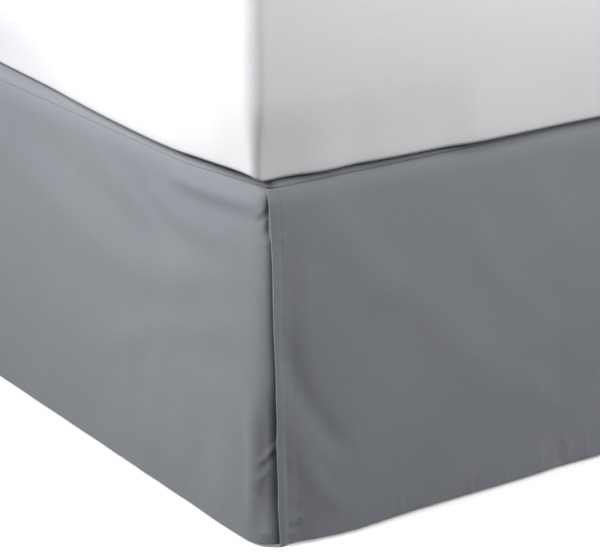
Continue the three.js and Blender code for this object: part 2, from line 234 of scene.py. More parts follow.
# Where each side drop runs in plan: distance along the cloth from the corner, then its place at the seam and
# at the hem. It starts behind the foot drop, turns the corner and runs to the head.
SIDE_STATIONS = np.array([
    # run, top across, top along, hem across, hem along
    (HIDDEN_END, 95, 5.2, 90, 3),
    (-40, 60, 5.2, 58, 2.8),
    (-20, 40, 5.4, 38, 2.4),
    (-9, 30, 6.2, 26.5, 2.6),
    (3, 24.2, 9.5, 15.7, 7.4),
    (15, 20.3, 18, 8, 15.6),
    (38, 15.1, 45, 2.6, 33),
    (70, 9, 80, 0.8, 62),
    (110, 3.3, 115, 0.4, 108),
    (145, 0.3, 146, 0.5, 145),
    (200, 0, 200, 0.6, 200),
    (620, 0, 620, 0, 620),
    (BED_LENGTH, 0, BED_LENGTH, 0, BED_LENGTH),
])

# How far the foot drop's hem stands out, by distance across.
FOOT_HEM = np.array([
    (24, 4.6), (28, 5.2), (33, 4.4), (45, 5), (67, 9.6), (91, 12.9), (115, 14.6), (142, 13.5), (196, 11.3),
    (360, 11.9), (390, 9.8), (446, 11.7), (560, 8.5), (670, 12.5), (762, 10),
])

# The foot drop's lapped edge: height, then how far in from the side it stands.
LAP_EDGE = np.array([
    (4, 23), (34, 22.7), (48, 22.2), (76, 23.2), (97, 23.2), (116, 22.9), (142, 24.1), (164, 24), (205, 25.2),
    (247, 24.3), (280, 24.6), (308, 25.1), (341, 24.3), (370, 23.1), (387, 22.6), (394, 22.4),
])
LAP_HEM = 11
HEM_DEPTH = 20
# The double cloth of a hem ends in a step this wide.
HEM_STEP = 1.5

# The lapped edge turns in at the seam. Further down it lies tucked in flat, and lets go a little at the hem.
LAP_TURN = 13
LAP_TURN_DEPTH = 2.6
LAP_TURN_CURVE = 1.6
LAP_TUCK = 2.8
LAP_TUCK_WIDTH = (10, 42)
LAP_TUCK_DROP = 110
LAP_HEM_RELEASE = 0.3
LAP_HEM_CURVE = 3
# The lower tip of the lapped edge hangs a little below the hem.
LAP_TIP = 1.5
LAP_TIP_WIDTH = 7
LAP_TIP_CURVE = 12

# Lines of stitches: how deep they lie, how wide, and how far the cloth gathers at them and beside them.
HEM_LINE, HEM_LINE_WIDTH = 0.06, 1.6
HEM_GATHER, HEM_GATHER_WIDTH = 0.1, 8
HEM_EDGE_GATHER, HEM_EDGE_REACH = 0.08, 18
LAP_LINE, LAP_LINE_WIDTH = 0.35, 1.3
LAP_GATHER, LAP_GATHER_WIDTH = 0.4, 5
LAP_EDGE_GATHER, LAP_EDGE_WIDTH = 0.14, 4
LAP_GATHER_DROP = (4, 40)

# Soft unevenness: how far it stands out, and the distances over which it sets in, below the seam, in from the
# lapped edge and along a side drop from the corner. The seeds keep each draw the same every time.
RIPPLE_REACH = 90
SIDE_RIPPLE, SIDE_RIPPLE_RUN = 0.9, 60
FOOT_RIPPLE = 0.8
FOOT_HEM_REACH = 40
SIDE_HEM_RUN = (-10, 20)
SIDE_FOLD_RUN = (-20, 25)
SIDE_RIPPLE_SEED, SIDE_HEM_SEED = 11, 21
FOOT_RIPPLE_SEED, FOOT_HEM_SEED = 5, 31
LAP_LINE_SEED, LAP_EDGE_SEED = 41, 42

# Folds: from, bend and to as (distance along the cloth, height), then width and rise.
SIDE_FOLDS = [
    ((620, 330), (272, 186), (35, 306), 30, 3.4),
    ((520, 352), (372, 322), (240, 292), 18, -1.3),
    ((380, 368), (302, 337), (215, 312), 16, 1.1),
    ((262, 356), (200, 316), (110, 300), 16, -0.9),
    ((215, 366), (157, 312), (30, 334), 15, 1.6),
    ((165, 366), (92, 355), (12, 357), 8, -0.8),
    ((170, 378), (90, 372), (5, 377), 10, 2.2),
    ((420, 122), (200, 202), (20, 240), 20, 1.5),
    ((95, 190), (70, 100), (75, 10), 30, 2),
    ((30, 170), (28, 90), (32, 15), 8, 1.6),
    ((980, 352), (760, 250), (560, 330), 34, 4),
    ((900, 120), (800, 60), (760, 4), 40, 4),
    ((1480, 360), (1260, 240), (1040, 330), 36, 4.5),
    ((1330, 150), (1370, 70), (1450, 4), 44, -4),
    ((2020, 350), (1800, 230), (1600, 340), 36, 4),
]
FOOT_FOLDS = [
    ((38, 245), (43, 158), (108, 88), 13, -2.6),
    ((38, 180), (42, 73), (102, 26), 12, 1.6),
    ((80, 380), (137, 292), (165, 235), 24, 1.6),
    ((150, 300), (212, 211), (385, 58), 26, 1.5),
    ((262, 335), (301, 249), (335, 215), 18, 1),
    ((345, 350), (380, 304), (415, 262), 18, 0.9),
    ((350, 250), (382, 210), (405, 175), 16, -0.7),
    ((340, 135), (365, 98), (410, 58), 15, 1),
    ((560, 380), (640, 200), (700, 40), 44, 3),
]
RIGHT_FOLD_SHIFT = 55

SIDE_CREASES = [
    ((-14, 119), (4, 106), (24, 89), 2.2, 1.2),
    ((-12, 110), (3, 98), (16, 84), 4, -0.3),
    ((4, 88), (12, 80), (24, 68), 4, 0.7),
    ((30, 66), (22, 58), (12, 52), 4, -0.8),
    ((0, 17), (8, 17), (16, 15), 4, 0.5),
    ((-4, 388), (3, 364), (-1, 336), 9, -3.2),
    ((2, 370), (10, 360), (22, 355), 3.2, -1.2),
    ((3, 373), (9, 367), (22, 361), 2.6, 0.8),
    ((-3, 328), (5, 328), (13, 328), 1.8, -0.5),
]
FOOT_CREASES = [
    ((34, 25), (42, 30), (51, 36), 3, 1),
    ((33, 37), (39, 42), (48, 47), 3.5, -0.8),
    ((34, 18), (40, 21), (49, 24), 3, -0.6),
    ((47, 188), (42, 160), (36, 122), 3, -0.6),
    ((36, 104), (33, 84), (38, 62), 3, -0.5),
    ((169, 4), (170, 14), (172, 28), 3, 0.9),
    ((176, 4), (177, 12), (180, 22), 2.6, -0.8),
    ((196, 4), (197, 12), (200, 24), 3, 0.8),
    ((263, 4), (264, 16), (268, 36), 3, 1.1),
    ((270, 4), (271, 12), (273, 24), 2.6, -0.9),
    ((311, 4), (312, 12), (315, 26), 3, 0.9),
    ((361, 4), (362, 14), (364, 32), 3, 1.3),
    ((389, 4), (390, 16), (392, 42), 3, -1.3),
    ((400, 4), (402, 16), (404, 36), 3, 1.3),
    ((425, 4), (427, 16), (430, 38), 3, 1.2),
]


# Where the side drop is pressed in, round the corner: along it from the corner, and up from the floor.
PRESS_DEPTH = 4.4
PRESS_RUN = {"hidden": -60, "full": -15, "full to": 8, "end": 26}
PRESS_HEIGHT = {"start": 8, "full": 60, "full to": 110, "end": 190}


def corner_press(run, height):
    along = (ramp(PRESS_RUN["end"], PRESS_RUN["full to"], run)
             * ramp(PRESS_RUN["hidden"], PRESS_RUN["full"], run))
    up = (ramp(PRESS_HEIGHT["start"], PRESS_HEIGHT["full"], height)
          * (1 - ramp(PRESS_HEIGHT["full to"], PRESS_HEIGHT["end"], height)))
    return PRESS_DEPTH * along * up


def side_place(run, height, mirrored=False):
    """The outer face of a side drop."""
    at = np.interp(run, SIDE_STATIONS[:, 0], np.arange(len(SIDE_STATIONS)))
    share = ((SEAM_HEIGHT - height) / DROP_LENGTH)[..., None]
    top, top_heading = smooth_path(SIDE_STATIONS[:, 1:3], at)
    hem, hem_heading = smooth_path(SIDE_STATIONS[:, 3:5], at)
    place = top + (hem - top) * share
    heading = top_heading + (hem_heading - top_heading) * share
    heading /= np.linalg.norm(heading, axis=-1)[..., None]
    shift = RIGHT_FOLD_SHIFT if mirrored else 0
    below_seam = SEAM_HEIGHT - height
    out = fold_rise(SIDE_FOLDS, run + shift, height) * ramp(*SIDE_FOLD_RUN, run)
    if not mirrored:
        out += crease_rise(SIDE_CREASES, run, height)
    hold = ramp(0, RIPPLE_REACH, below_seam) * ramp(0, SIDE_RIPPLE_RUN, run)
    out += ripple(run, height, SIDE_RIPPLE_SEED + shift, SIDE_RIPPLE) * hold
    out += hem_relief(run, height, SIDE_HEM_SEED + shift) * ramp(*SIDE_HEM_RUN, run)
    out -= shoulder(height, SIDE_DITCH) + corner_press(run, height)
    across = place[..., 0] - heading[..., 1] * out
    along = place[..., 1] + heading[..., 0] * out
    return in_frame(across, along, height, mirrored)


def hem_relief(run, height, seed):
    """The turned-up hem stands a little proud of its stitches, and gathers there."""
    stitch = height - HEM_HEIGHT - HEM_DEPTH
    line = -HEM_LINE * np.exp(-(stitch / HEM_LINE_WIDTH) ** 2)
    gather = pucker(run, seed, HEM_GATHER) * np.exp(-(stitch / HEM_GATHER_WIDTH) ** 2)
    edge = 1 - ramp(0, HEM_EDGE_REACH, height - HEM_HEIGHT)
    return line + gather + pucker(run, seed + 1, HEM_EDGE_GATHER) * edge


def foot_place(reach, height):
    """The outer face of the foot drop. Reach counts from its left lapped edge to its right one, 0 to 2."""
    mirrored = reach > 1
    share_across = np.where(mirrored, 2 - reach, reach)
    edge = np.interp(height, LAP_EDGE[:, 0], LAP_EDGE[:, 1])
    across = edge + share_across * (BED_WIDTH / 2 - edge)
    in_from_edge = across - edge
    below_seam = SEAM_HEIGHT - height
    share = below_seam / DROP_LENGTH
    turn = np.clip(1 - in_from_edge / LAP_TURN, 0, 1)
    out = np.interp(across, FOOT_HEM[:, 0], FOOT_HEM[:, 1]) * share
    tucked = ramp(0, LAP_TUCK_DROP, below_seam)
    out -= LAP_TURN_DEPTH * turn ** LAP_TURN_CURVE * (1 - tucked)
    tuck = LAP_TUCK * (1 - ramp(*LAP_TUCK_WIDTH, in_from_edge)) * tucked
    out -= tuck * (1 - LAP_HEM_RELEASE * share ** LAP_HEM_CURVE)
    out += fold_rise(FOOT_FOLDS, across, height)
    placed = np.where(mirrored, BED_WIDTH - across, across)
    out += crease_rise(FOOT_CREASES, placed, height)
    hold = ramp(0, RIPPLE_REACH, below_seam) * ramp(LAP_HEM, RIPPLE_REACH, in_from_edge)
    out += ripple(placed, height, FOOT_RIPPLE_SEED, FOOT_RIPPLE) * hold
    out += hem_relief(placed, height, FOOT_HEM_SEED) * ramp(LAP_HEM, FOOT_HEM_REACH, in_from_edge)
    stitch = in_from_edge - LAP_HEM
    free = ramp(*LAP_GATHER_DROP, below_seam)
    out -= LAP_LINE * np.exp(-(stitch / LAP_LINE_WIDTH) ** 2)
    out += pucker(height, LAP_LINE_SEED, LAP_GATHER) * np.exp(-(stitch / LAP_GATHER_WIDTH) ** 2) * free
    gather = pucker(height, LAP_EDGE_SEED, LAP_EDGE_GATHER)
    out += gather * np.exp(-(in_from_edge / LAP_EDGE_WIDTH) ** 2) * free
    out -= shoulder(height, FOOT_DITCH)
    tip = LAP_TIP * np.exp(-(in_from_edge / LAP_TIP_WIDTH) ** 2) * share ** LAP_TIP_CURVE
    return in_frame(placed, -out, height - tip)


# ---- Meshes ----

# Points closer than this are one point.
DOUBLES = 0.02
# Single cloth has this share of the hem's thickness.
PLAIN_SHARE = 0.5
LEAST_HEM = 0.01
RAW_EDGE = 0.4
RAW_EDGE_STEPS = 2
RAW_EDGE_ANGLE = 50


def read_points(mesh):
    points = np.empty(len(mesh.vertices) * 3)
    mesh.vertices.foreach_get("co", points)
    return points.reshape(-1, 3)


def grid_piece(name, columns, rows, place, flip=False):
    """A grid of cloth with a point at each column and row, moved to its place. Its map is the flat cloth."""
    shape = bmesh.new()
    bmesh.ops.create_grid(shape, x_segments=len(columns) - 1, y_segments=len(rows) - 1, size=0.5)
    if flip:
        bmesh.ops.reverse_faces(shape, faces=shape.faces)
    mesh = bpy.data.meshes.new(name)
    shape.to_mesh(mesh)
    shape.free()
    flat = read_points(mesh)
    column = np.rint((flat[:, 0] + 0.5) * (len(columns) - 1)).astype(int)
    row = np.rint((0.5 - flat[:, 1]) * (len(rows) - 1)).astype(int)
    run, drop = np.asarray(columns, float)[column], np.asarray(rows, float)[row]
    mesh.vertices.foreach_set("co", place(run, drop).ravel())
    corners = np.empty(len(mesh.loops), int)
    mesh.loops.foreach_get("vertex_index", corners)
    cloth_map = mesh.uv_layers.new(name="cloth")
    cloth_map.data.foreach_set("uv", (np.stack([run, drop], axis=-1)[corners] * MM).ravel())
    mesh.polygons.foreach_set("use_smooth", np.ones(len(mesh.polygons), bool))
    mesh.update()
    piece = bpy.data.objects.new(name, mesh)
    bpy.context.scene.collection.objects.link(piece)
    return piece, run, drop


def merge_doubles(piece):
    shape = bmesh.new()
    shape.from_mesh(piece.data)
    bmesh.ops.remove_doubles(shape, verts=shape.verts, dist=DOUBLES * MM)
    shape.to_mesh(piece.data)
    shape.free()


def thicken(piece, thickness, hem=None):
    """Gives a sheet its thickness behind its outer face, with rounded raw edges. hem marks double cloth."""
    solidify = piece.modifiers.new("cloth", "SOLIDIFY")
    solidify.thickness = thickness * MM
    solidify.offset = -1
    solidify.use_quality_normals = True
    if hem is not None:
        group = piece.vertex_groups.new(name="hem")
        for index in np.flatnonzero(hem > LEAST_HEM):
            group.add([int(index)], float(hem[index]), "REPLACE")
        solidify.vertex_group = "hem"
        solidify.thickness_vertex_group = PLAIN_SHARE
    bevel = piece.modifiers.new("edge", "BEVEL")
    bevel.width = RAW_EDGE * MM
    bevel.segments = RAW_EDGE_STEPS
    bevel.limit_method = "ANGLE"
    bevel.angle_limit = math.radians(RAW_EDGE_ANGLE)


DROP_ROWS = np.concatenate([
    SEAM_HEIGHT - np.array([0.2, 0.7, 1.3, 2, 2.8, 4, 5.5, 7.5, 10, 13]),
    stops((SEAM_HEIGHT - 16, 3.5), (30, 2), (12, 1.6), (HEM_HEIGHT, 1)),
])
SIDE_COLUMNS = stops((HIDDEN_END, 4), (-24, 1.6), (48, 2.6), (290, 3.6), (640, 9), (BED_LENGTH, 1))


def double_cloth(height):
    """1 where the hem is turned up, 0 above it."""
    return 1 - ramp(HEM_HEIGHT + HEM_DEPTH, HEM_HEIGHT + HEM_DEPTH + HEM_STEP, height)


def side_drop(name, mirrored):
    piece, _, height = grid_piece(
        name, SIDE_COLUMNS, DROP_ROWS, lambda r, h: side_place(r, h, mirrored), flip=not mirrored)
    thicken(piece, HEM_CLOTH, double_cloth(height))
    return piece


def foot_drop(name):
    half = BED_WIDTH / 2 - LAP_EDGE[0, 1]
    inward = stops((0, 0.8), (4, 1.3), (14, 1.6), (40, 2.6), (430, 5), (half, 1))
    reach = np.concatenate([inward / half, 2 - inward[-2::-1] / half])
    piece, reach, height = grid_piece(name, reach, DROP_ROWS, foot_place)
    from_edge = np.where(reach > 1, 2 - reach, reach) * half
    lap = 1 - ramp(LAP_HEM, LAP_HEM + HEM_STEP, from_edge)
    thicken(piece, HEM_CLOTH, np.maximum(double_cloth(height), lap))
    cloth_map = piece.data.uv_layers["cloth"]
    flat = np.empty(len(piece.data.loops) * 2)
    cloth_map.data.foreach_get("uv", flat)
    flat[::2] *= half
    cloth_map.data.foreach_set("uv", flat)
    return piece


# The seam's line in plan from the head to the middle of the foot: across, along and the spacing of columns.
DECK_EDGE = [
    (0, BED_LENGTH, 12), (0, 620, 5), (0, 200, 3.5), (0.3, 146, 3), (3.3, 115, 3), (9, 80, 3),
    (15.1, 45, 2.4), (20.3, 18, 1.5), (22.8, 8.6, 1.2), (27.5, 2.9, 1.2), (35, 0.5, 1.6), (48, 0, 3),
    (100, 0, 3.4), (440, 0, 8), (762, 0, 8),
]
# The point of DECK_EDGE where the foot's seam takes over from the side's.
FOOT_START = 9
# Past the roll, inward counts over the deck's flat top from ON_TOP to ON_TOP + TOP_SPAN.
ON_TOP = 1000
TOP_SPAN = 100
# The deck rolls over the base's edge from flat to this slant at the seam.
SEAM_SLANT = math.radians(22)
ROLL_RADIUS = (DECK_TOP - SEAM_HEIGHT) / (1 - math.sin(SEAM_SLANT))
ROLL_LENGTH = ROLL_RADIUS * (math.pi / 2 - SEAM_SLANT)


def deck_place(at, inward):
    """The deck's outer face. at follows its seam from the left head end to the right one, and inward
    counts along the cloth from the seam, then on to the middle of the bed from ON_TOP."""
    points = np.array([row[:2] for row in DECK_EDGE], float)
    last = len(points) - 1
    mirrored = at > last
    edge, heading = smooth_path(points, np.where(mirrored, 2 * last - at, at))
    slant = SEAM_SLANT + np.clip(inward, 0, ROLL_LENGTH) / ROLL_RADIUS
    inset = SEAM_INSET + ROLL_RADIUS * (math.cos(SEAM_SLANT) - np.cos(slant))
    on_foot = ramp(FOOT_START - 1, FOOT_START + 1, np.where(mirrored, 2 * last - at, at))
    inset += SEAM_PULL + seam_ditch(inward, SIDE_DITCH + (FOOT_DITCH - SIDE_DITCH) * on_foot)
    height = SEAM_HEIGHT + ROLL_RADIUS * (np.sin(slant) - math.sin(SEAM_SLANT))
    inner = edge + np.stack([-heading[..., 1], heading[..., 0]], axis=-1) * inset[..., None]
    spine = np.stack([
        np.full(at.shape, BED_WIDTH / 2),
        np.maximum(edge[..., 1], BED_WIDTH / 2)], axis=-1)
    share = np.clip((inward - ON_TOP) / TOP_SPAN, 0, 1)[..., None]
    place = inner + (spine - inner) * share
    across = np.where(mirrored, BED_WIDTH - place[..., 0], place[..., 0])
    return in_frame(across, place[..., 1], height)


def deck_columns():
    counts = []
    for (x0, y0, spacing), (x1, y1, _) in zip(DECK_EDGE, DECK_EDGE[1:]):
        counts.append(max(1, round(math.hypot(x1 - x0, y1 - y0) / spacing)))
    half = np.concatenate([i + np.arange(n) / n for i, n in enumerate(counts)] + [[len(counts)]])
    return np.concatenate([half, 2 * len(counts) - half[-2::-1]])


def deck_cloth(name):
    rows = np.concatenate([
        [0, 0.4, 0.9, 1.4, 2.2], np.linspace(3.6, ROLL_LENGTH, 12),
        ON_TOP + np.array([0.3, 0.8, 1.5, 3, 6, 12, 25, 50, 75, 100])])
    piece, _, _ = grid_piece(name, deck_columns(), rows[::-1], deck_place, flip=True)
    merge_doubles(piece)
    thicken(piece, DECK_CLOTH)
    return piece


# ---- Mattress ----

DECK_GAP = 0.4
MATTRESS_BOTTOM = DECK_TOP + DECK_GAP
MATTRESS_TOP = 686
MATTRESS_CORNER = 13
TOP_CORNER = 45
TOP_CORNER_REACH = 300
LOWER_EDGE = 5
RIM_LIFT = 2.2
UPPER_EDGE = 26
EDGE_STEPS = 8
CORNER_STEPS = 8
CROWN = 9
CROWN_MIDDLE = 1000
CROWN_REACH = 1020
SWELL = 6
SWELL_CURVE = 0.8
SIDE_OUT = 2
FOOT_OUT = -3

# Shares of the mattress's height over which each of its forms comes in or fades.
TOP_CORNER_LEVELS = (0.72, 0.9)
EDGE_LEVELS = (0.02, 0.3)
SAG_LEVELS = (0, 0.2)
RIM_LEVELS = (0.05, 0.6)
CROWN_LEVELS = (0.6, 1)
# The rim lifts over this share of the way in to the middle.
RIM_SHARES = (0.02, 0.08)
# How far the deck's edge draws in at the foot corner, and along which length.
CORNER_DRAW = 24
CORNER_DRAW_RUN = 150
CORNER_DRAW_CURVE = 1.3
# From rim to middle, the top and bottom count as this long on the cover's map.
TOP_MAP = 700

# The mattress's lower edge: distance from the foot or the side, its place in from the deck's edge, its sag.
SIDE_EDGE = np.array([
    (0, 4.5, 0), (21, 4.5, 0), (37, 3.6, 0), (69, -0.3, 0), (103, -2.3, 1), (136, -5.2, 1.6),
    (175, -6.2, 1.6), (218, -6.1, 1.2), (263, -5.4, 0.6), (312, -4.8, -0.6), (365, -3.1, -1.8),
    (422, 1.2, -2), (477, 4.2, -2), (533, 6.6, -2), (590, 9.2, -2), (700, 9, -1), (1000, 2, 0),
    (1500, -3, 0), (1800, 3, 0), (BED_LENGTH, 2, 0),
])
FOOT_EDGE = np.array([
    (0, 0, 4), (24, 0, 5.5), (32, -0.3, 5), (54, -1.7, 5), (75, -3.8, 6), (98, -4.9, 6),
    (123, -3.7, 5.6), (146, -4.8, 6), (195, -4.7, 7), (245, -5.2, 7.6), (267, -7.9, 8),
    (318, -7.9, 8.4), (345, -7.3, 8.6), (372, -6.4, 8.8), (401, -5.8, 9), (428, -6.3, 9),
    (560, -5, 8), (762, -4, 6), (1000, -6, 6), (1300, -3, 5), (1450, -1, 3), (BED_WIDTH, 0, 1),
])
MATTRESS_FOOT = -4
MATTRESS_HEAD = 2030


def widened(at, low, high):
    """Places along one side of the mattress, moved so that its corners become TOP_CORNER wide."""
    reach = TOP_CORNER_REACH
    return np.interp(
        at, (low, low + MATTRESS_CORNER, low + reach, high - reach, high - MATTRESS_CORNER, high),
        (low, low + TOP_CORNER, low + reach, high - reach, high - TOP_CORNER, high))


def mattress_outline():
    """Columns round the mattress: plan place and outward direction."""
    r = MATTRESS_CORNER
    left, right, foot, head = 0, BED_WIDTH, MATTRESS_FOOT, MATTRESS_HEAD
    arc = np.linspace(0, math.pi / 2, CORNER_STEPS + 1)[1:-1]
    places, ways = [], []

    def side(points, way):
        places.extend(points)
        ways.extend([way] * len(points))

    def corner(x, y, start):
        for angle in arc:
            way = (math.cos(start + angle), math.sin(start + angle))
            places.append((x + r * way[0], y + r * way[1]))
            ways.append(way)

    side([(left, y) for y in stops((head - r, 30), (700, 10), (70, 5), (foot + r, 1))], (-1, 0))
    corner(left + r, foot + r, math.pi)
    side([(x, foot) for x in stops((left + r, 5), (60, 9), (470, 30), (right - r, 1))], (0, -1))
    corner(right - r, foot + r, 1.5 * math.pi)
    side([(right, y) for y in stops((foot + r, 25), (head - r, 1))], (1, 0))
    corner(right - r, head - r, 0)
    side([(x, head) for x in stops((right - r, 25), (left + r, 1))], (0, 1))
    corner(left + r, head - r, math.pi / 2)
    places.append(places[0])
    ways.append(ways[0])
    return np.array(places), np.array(ways, float)


def mattress_rows():
    """Rows up the mattress: how far in from the outline, height, share of the way to the middle."""
    rows = [(LOWER_EDGE, MATTRESS_BOTTOM, share) for share in (1, 0.7, 0.4, 0.15, 0.05)]
    for angle in np.linspace(0, math.pi / 2, EDGE_STEPS):
        rows.append((LOWER_EDGE * (1 - math.sin(angle)),
                     MATTRESS_BOTTOM + LOWER_EDGE * (1 - math.cos(angle)), 0))
    for height in stops((MATTRESS_BOTTOM + LOWER_EDGE + 6, 9), (MATTRESS_TOP - UPPER_EDGE - 6, 1)):
        rows.append((0, height, 0))
    for angle in np.linspace(0, math.pi / 2, EDGE_STEPS):
        rows.append((UPPER_EDGE * (1 - math.cos(angle)),
                     MATTRESS_TOP - UPPER_EDGE * (1 - math.sin(angle)), 0))
    rows += [(UPPER_EDGE, MATTRESS_TOP, share) for share in (0.03, 0.08, 0.16, 0.28, 0.42, 0.58, 0.76, 1)]
    return np.array(rows)


def eased(table, at):
    """A table's other columns at places along its first one, on smooth curves through its rows."""
    marks, values = table[:, 0], table[:, 1:]
    slopes = np.gradient(values, marks, axis=0)
    first = np.clip(np.searchsorted(marks, at, "right") - 1, 0, len(marks) - 2)
    span = (marks[first + 1] - marks[first])[..., None]
    t = np.clip((at - marks[first])[..., None] / span, 0, 1)
    start, end = values[first], values[first + 1]
    leave, arrive = slopes[first] * span, slopes[first + 1] * span
    curve = start + t * (leave + t * (3 * (end - start) - 2 * leave - arrive
                                      + t * (2 * (start - end) + leave + arrive)))
    return np.moveaxis(curve, -1, 0)


def deck_surface(across, along):
    """The deck's height under a place, or far below where it is beyond the deck."""
    draw_in = CORNER_DRAW * np.maximum(0, 1 - along / CORNER_DRAW_RUN) ** CORNER_DRAW_CURVE
    inset = np.minimum(np.minimum(across, BED_WIDTH - across) - draw_in, along) - SEAM_INSET
    turn = math.cos(SEAM_SLANT) - np.clip(inset / ROLL_RADIUS, 0, math.cos(SEAM_SLANT))
    rolled = SEAM_HEIGHT + ROLL_RADIUS * (np.sqrt(1 - turn ** 2) - math.sin(SEAM_SLANT))
    return np.where(inset > 0, rolled, 0)


def mattress(name):
    places, ways = mattress_outline()
    rows = mattress_rows()

    def place(column, row):
        column, row = np.rint(column).astype(int), np.rint(row).astype(int)
        inset, height, share = rows[row].T
        x, y = places[column].T.copy()
        way_x, way_y = ways[column].T
        level = np.clip((height - MATTRESS_BOTTOM) / (MATTRESS_TOP - MATTRESS_BOTTOM), 0, 1)
        high = ramp(*TOP_CORNER_LEVELS, level)
        x += (widened(x, 0, BED_WIDTH) - x) * high
        y += (widened(y, MATTRESS_FOOT, MATTRESS_HEAD) - y) * high
        low = 1 - ramp(*EDGE_LEVELS, level)
        side_shift, side_sag = eased(SIDE_EDGE, y)
        foot_shift, foot_sag = eased(FOOT_EDGE, x)
        foot_shift = foot_shift - MATTRESS_FOOT
        facing_side = np.abs(way_x)
        facing_foot = np.clip(-way_y, 0, 1)
        out = SWELL * np.sin(math.pi * level) ** SWELL_CURVE - inset
        side_in = SIDE_OUT + (side_shift - SIDE_OUT) * low
        foot_in = FOOT_OUT + (foot_shift - FOOT_OUT) * low
        nx = x + way_x * out + side_in * np.sign(-way_x) * facing_side
        ny = y + way_y * out + foot_in * facing_foot
        sag = (side_sag * facing_side ** 2 + foot_sag * facing_foot ** 2) * (1 - ramp(*SAG_LEVELS, level))
        sag -= RIM_LIFT * (1 - ramp(*RIM_LEVELS, level)) * (1 - ramp(*RIM_SHARES, share))
        spine_y = np.clip(y, BED_WIDTH / 2, MATTRESS_HEAD - BED_WIDTH / 2)
        nx = nx + (BED_WIDTH / 2 - nx) * share
        ny = ny + (spine_y - ny) * share
        across_share = (nx / (BED_WIDTH / 2) - 1) ** 2
        along_share = ((ny - CROWN_MIDDLE) / CROWN_REACH) ** 2
        arch = np.clip(1 - across_share, 0, 1) * np.clip(1 - along_share, 0, 1)
        crown = CROWN * ramp(*CROWN_LEVELS, level) * arch
        nz = height - sag + crown
        nz = np.maximum(nz, deck_surface(nx, ny) + DECK_GAP)
        return in_frame(nx, ny, nz)

    piece, column, row = grid_piece(
        name, np.arange(len(places)), np.arange(len(rows))[::-1], place)
    round_it = np.concatenate([[0], np.cumsum(np.linalg.norm(np.diff(places, axis=0), axis=1))])
    up_it = np.concatenate([[0], np.cumsum(np.hypot(
        np.diff(rows[:, 1]), np.diff(-rows[:, 0] * (rows[:, 2] == 0) + TOP_MAP * rows[:, 2])))])
    corners = np.empty(len(piece.data.loops), int)
    piece.data.loops.foreach_get("vertex_index", corners)
    flat = np.stack([round_it[column.astype(int)], up_it[row.astype(int)]], axis=-1)
    piece.data.uv_layers["cloth"].data.foreach_set("uv", (flat[corners] * MM).ravel())
    merge_doubles(piece)
    return piece


# ---- Materials ----

def shader(name, **inputs):
    """A new material with its nodes, and its main shader with plain values set on its own sockets."""
    material = bpy.data.materials.new(name)
    material.use_nodes = True
    nodes = material.node_tree.nodes
    main = nodes["Principled BSDF"]
    for socket, value in inputs.items():
        main.inputs[socket.replace("_", " ")].default_value = value
    return material, nodes, material.node_tree.links, main


def node(nodes, links, kind, inputs=(), **settings):
    """Adds a node, with its settings and what feeds its sockets: a value, or another node's socket."""
    made = nodes.new(kind)
    for key, value in settings.items():
        setattr(made, key, value)
    for socket, value in dict(inputs).items():
        if isinstance(value, bpy.types.NodeSocket):
            links.new(value, made.inputs[socket])
        else:
            made.inputs[socket].default_value = value
    return made


def noise(nodes, links, vector, scale, detail=3, roughness=0.5):
    return node(nodes, links, "ShaderNodeTexNoise", {
        "Vector": vector, "Scale": scale, "Detail": detail, "Roughness": roughness}).outputs["Fac"]


def yarns(nodes, links, flat, pitch):
    """Height of woven yarns, uneven along their length. pitch is the yarns' spacing in metres."""
    runs = []
    for turn in ((1 / pitch, 0.03 / pitch, 1), (0.03 / pitch, 1 / pitch, 1)):
        drawn = node(nodes, links, "ShaderNodeMapping", {"Vector": flat, "Scale": turn}).outputs["Vector"]
        runs.append(noise(nodes, links, drawn, 1, 1))
    return node(nodes, links, "ShaderNodeMath", {0: runs[0], 1: runs[1]}, operation="ADD").outputs["Value"]


# A pattern turns from its low colour to its high one between these values.
COLOUR_TURN = (0.3, 0.7)


def blend_colours(nodes, links, factor, low, high):
    start, end = COLOUR_TURN
    mix = node(nodes, links, "ShaderNodeValToRGB", {"Fac": factor})
    mix.color_ramp.elements[0].position = start
    mix.color_ramp.elements[0].color = (*low, 1)
    mix.color_ramp.elements[1].position = end
    mix.color_ramp.elements[1].color = (*high, 1)
    return mix.outputs["Color"]


def bump(nodes, links, height, distance, normal=None):
    inputs = {"Height": height, "Distance": distance}
    if normal is not None:
        inputs["Normal"] = normal
    return node(nodes, links, "ShaderNodeBump", inputs).outputs["Normal"]


def spread(nodes, links, value, low, high):
    """Spreads a 0 to 1 pattern between low and high."""
    return node(nodes, links, "ShaderNodeMapRange", {
        "Value": value, "To Min": low, "To Max": high}).outputs["Result"]


def woven(name, colours, pitch, thread_depth, soft_depth, roughness, sheen):
    """Woven cloth: threads, the soft unevenness of its surface and a little colour variation."""
    material, nodes, links, main = shader(
        name, Sheen_Weight=sheen, Sheen_Roughness=0.45, Specular_IOR_Level=0.35)
    flat = nodes.new("ShaderNodeUVMap")
    flat.uv_map = "cloth"
    flat = flat.outputs["UV"]
    place = nodes.new("ShaderNodeTexCoord").outputs["Object"]
    threads = yarns(nodes, links, flat, pitch)
    patches = noise(nodes, links, place, 7, 2)
    colour = blend_colours(nodes, links, patches, *colours)
    shade = spread(nodes, links, threads, 0.97, 1.01)
    tinted = node(nodes, links, "ShaderNodeMix", {
        "Factor": 1.0, "A": colour, "B": shade}, data_type="RGBA", blend_type="MULTIPLY")
    links.new(tinted.outputs["Result"], main.inputs["Base Color"])
    links.new(spread(nodes, links, noise(nodes, links, place, 60, 3), roughness - 0.05, roughness + 0.05),
              main.inputs["Roughness"])
    soft = bump(nodes, links, noise(nodes, links, place, 38, 3, 0.6), soft_depth)
    links.new(bump(nodes, links, threads, thread_depth, soft), main.inputs["Normal"])
    return material


